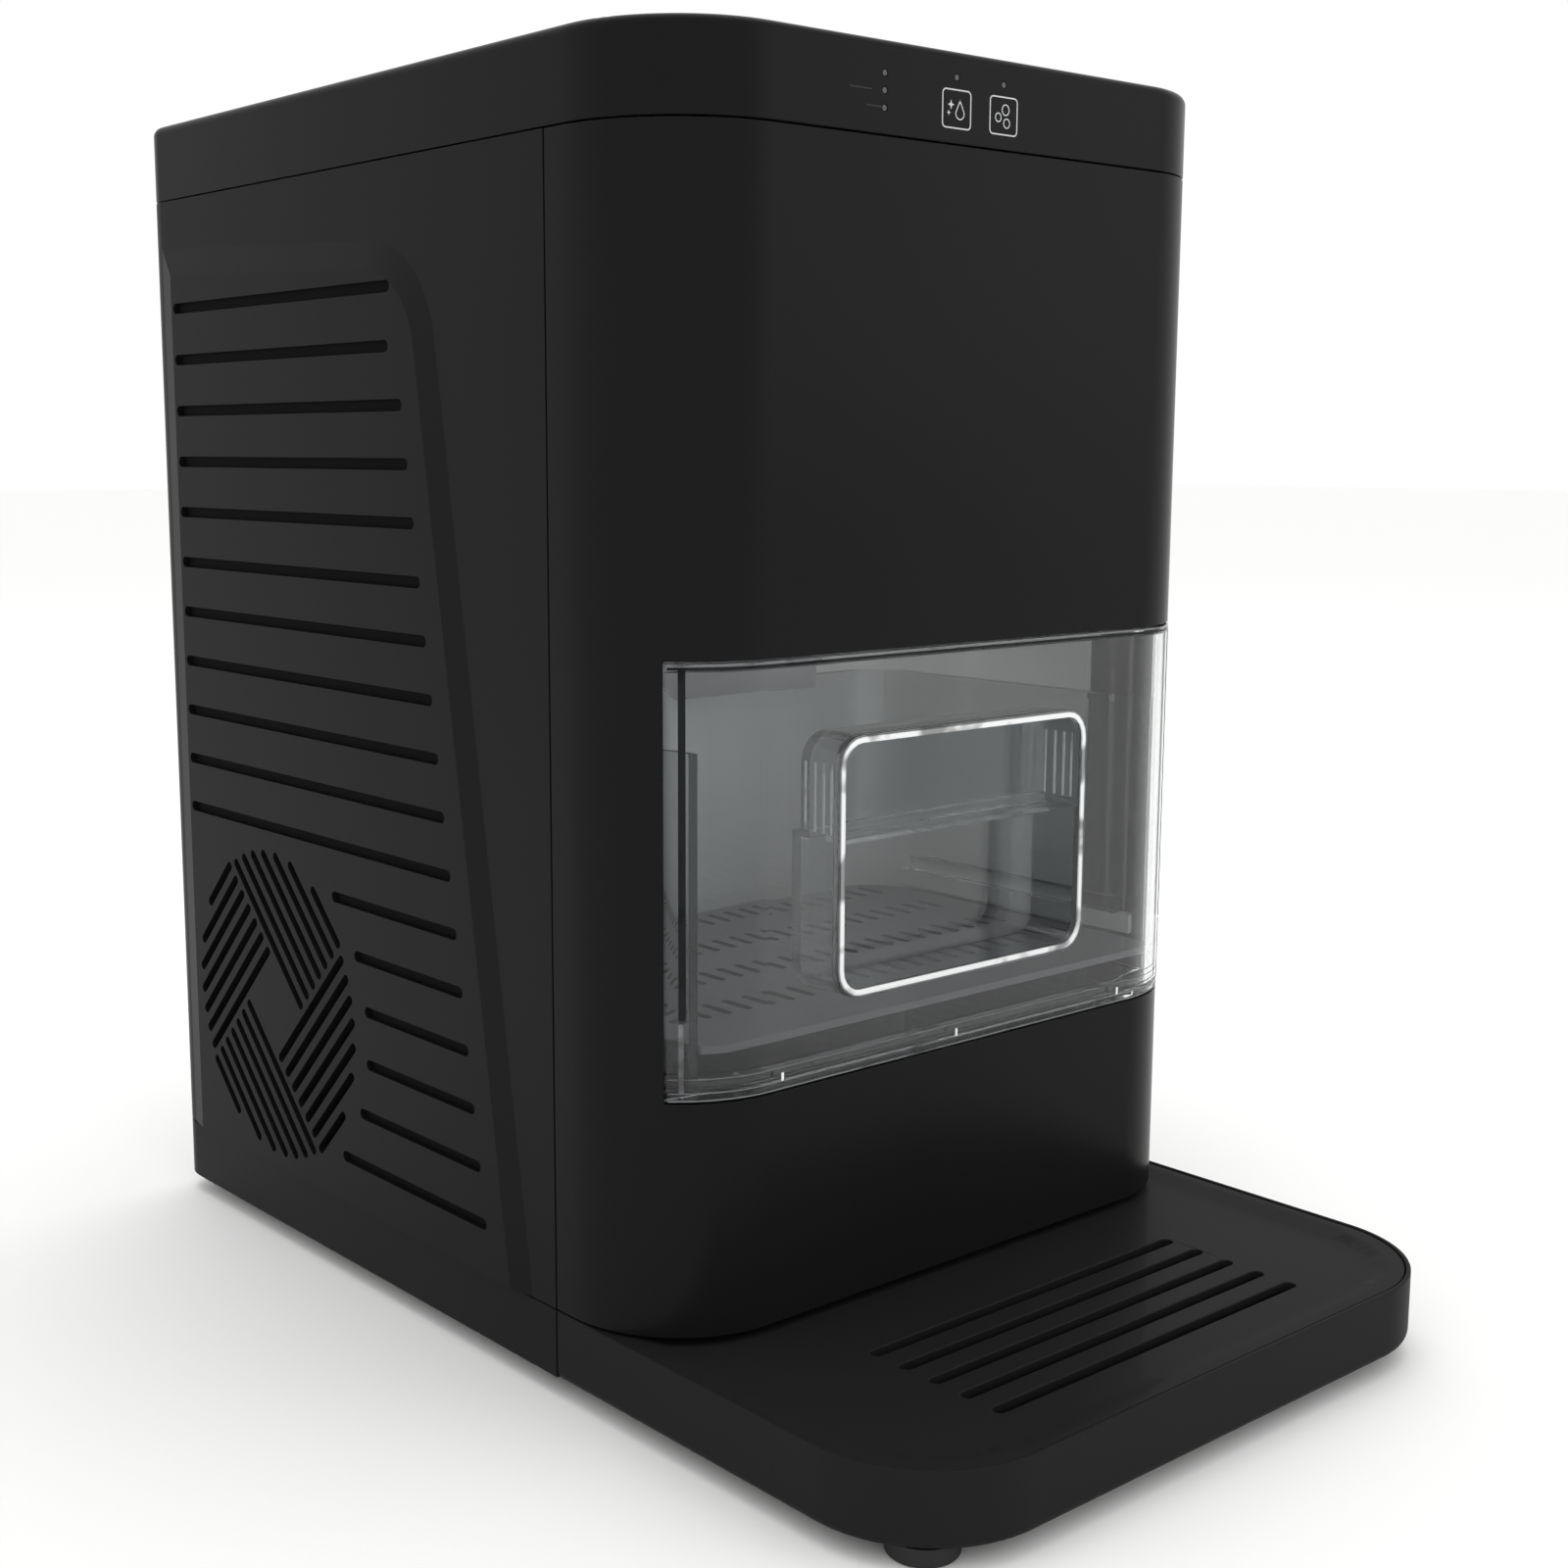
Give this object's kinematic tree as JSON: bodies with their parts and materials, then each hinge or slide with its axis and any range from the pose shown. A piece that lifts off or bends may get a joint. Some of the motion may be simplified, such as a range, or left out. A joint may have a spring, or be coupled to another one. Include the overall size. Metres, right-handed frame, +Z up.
{
  "type": "ice maker",
  "caption": "Countertop nugget ice maker: black casing, clear pull-out ice drawer, slotted drip tray in front, refill lid on top, fan grille and grooved sides.",
  "frame": {"origin": "centre of the bounding box, on the surface the feet stand on", "axes": "+Z up, front (drawer and drip tray) towards -Y, +X to the right seen from the front"},
  "size_m": [0.269, 0.435, 0.43],
  "materials": {
    "case_black": "satin moulded ABS, black",
    "clear_plastic": "clear moulded styrene, lightly smoked",
    "grid_plastic": "translucent grey plastic",
    "liner_grey": "grey moulded plastic",
    "foam": "closed-cell foam",
    "tank_plastic": "natural polypropylene",
    "rubber": "moulded rubber",
    "hose": "silicone hose",
    "steel": "plain steel",
    "fan_plastic": "light grey glass-filled plastic",
    "copper": "drawn copper",
    "fin_aluminium": "bare fin stock",
    "motor_paint": "black enamel",
    "bronze": "sintered bronze",
    "board_green": "solder mask",
    "inlet_plastic": "gloss black",
    "light_pipe": "frosted clear"
  },
  "bodies": {
    "case": {"base_tub": "case_black", "base_feet": "rubber", "base_plate": "steel", "front_panel": "case_black", "left_side_panel": "case_black", "right_side_panel": "case_black", "rear_panel": "case_black", "case_screws": "steel", "top_cover": "case_black", "light_pipes": "light_pipe", "control_board": "board_green", "power_board": "board_green", "power_inlet": "inlet_plastic", "cavity_liner": "liner_grey", "cavity_insulation": "foam", "ice_chute": "liner_grey", "bin_sensor": "liner_grey", "tank_shelf": "steel", "mid_shelf": "steel", "gearbox_tray": "tank_plastic", "gearbox_cover": "tank_plastic", "lower_bearing": "bronze", "evaporator_barrel": "steel", "evaporator_coil": "copper", "barrel_jacket": "foam", "extruder_head": "steel", "auger_motor": "motor_paint", "compressor": "motor_paint", "compressor_mounts": "rubber", "condenser_fins": "fin_aluminium", "condenser_coil": "copper", "fan_shroud": "fan_plastic", "fan_motor": "motor_paint", "filter_drier": "copper", "refrigerant_tubes": "copper", "water_tank": "tank_plastic", "tank_lid": "tank_plastic", "water_pump": "tank_plastic", "supply_hose": "hose", "fill_hose": "hose", "drain_hose": "hose", "lid_hinge_pins": "steel", "refill_basin": "liner_grey"},
    "drawer": {"drawer_front": "clear_plastic", "handle_pocket": "clear_plastic", "grip_plate": "clear_plastic", "drawer_bin": "clear_plastic", "drain_grid": "grid_plastic"},
    "tray": {"tray_housing": "case_black", "drip_grille": "case_black", "tray_feet": "rubber"},
    "lid": {"refill_lid": "case_black", "lid_seal": "rubber"},
    "fan": {"fan_impeller": "fan_plastic", "fan_shaft": "steel"},
    "auger": {"auger": "steel", "output_gear": "fan_plastic"},
    "pinion": {"drive_pinion": "steel"},
    "float": {"tank_float": "fan_plastic"},
    "drain_plug": {"drain_cap": "rubber"}
  },
  "joints": [
    {"name": "drawer_slide", "type": "slide", "parent": "case", "child": "drawer", "axis": [0, -1, 0], "range_m": [0, 0.11]},
    {"name": "tray_pull", "type": "slide", "parent": "case", "child": "tray", "axis": [0, -1, 0], "range_m": [0, 0.07]},
    {"name": "lid_hinge", "type": "hinge", "parent": "case", "child": "lid", "pos_m": [0.07, 0.1795, 0.427], "axis": [-1, 0, 0], "range_deg": [0, 95]},
    {"name": "fan_spin", "type": "hinge", "parent": "case", "child": "fan", "pos_m": [-0.097, 0.1281, 0.0959], "axis": [1, 0, 0], "continuous": true},
    {"name": "auger_spin", "type": "hinge", "parent": "case", "child": "auger", "pos_m": [-0.014, 0.12625, 0.1835], "axis": [0, 0, 1], "continuous": true},
    {"name": "pinion_spin", "type": "hinge", "parent": "case", "child": "pinion", "pos_m": [-0.0665, 0.12625, 0.1835], "axis": [0, 0, 1], "continuous": true},
    {"name": "float_rise", "type": "slide", "parent": "case", "child": "float", "axis": [0, 0, 1], "range_m": [0, 0.022]},
    {"name": "drain_pull", "type": "slide", "parent": "case", "child": "drain_plug", "axis": [0, 1, 0], "range_m": [0, 0.02]}
  ],
  "couplings": [
    {"joint": "pinion_spin", "follows": "auger_spin", "ratio": -4}
  ]
}
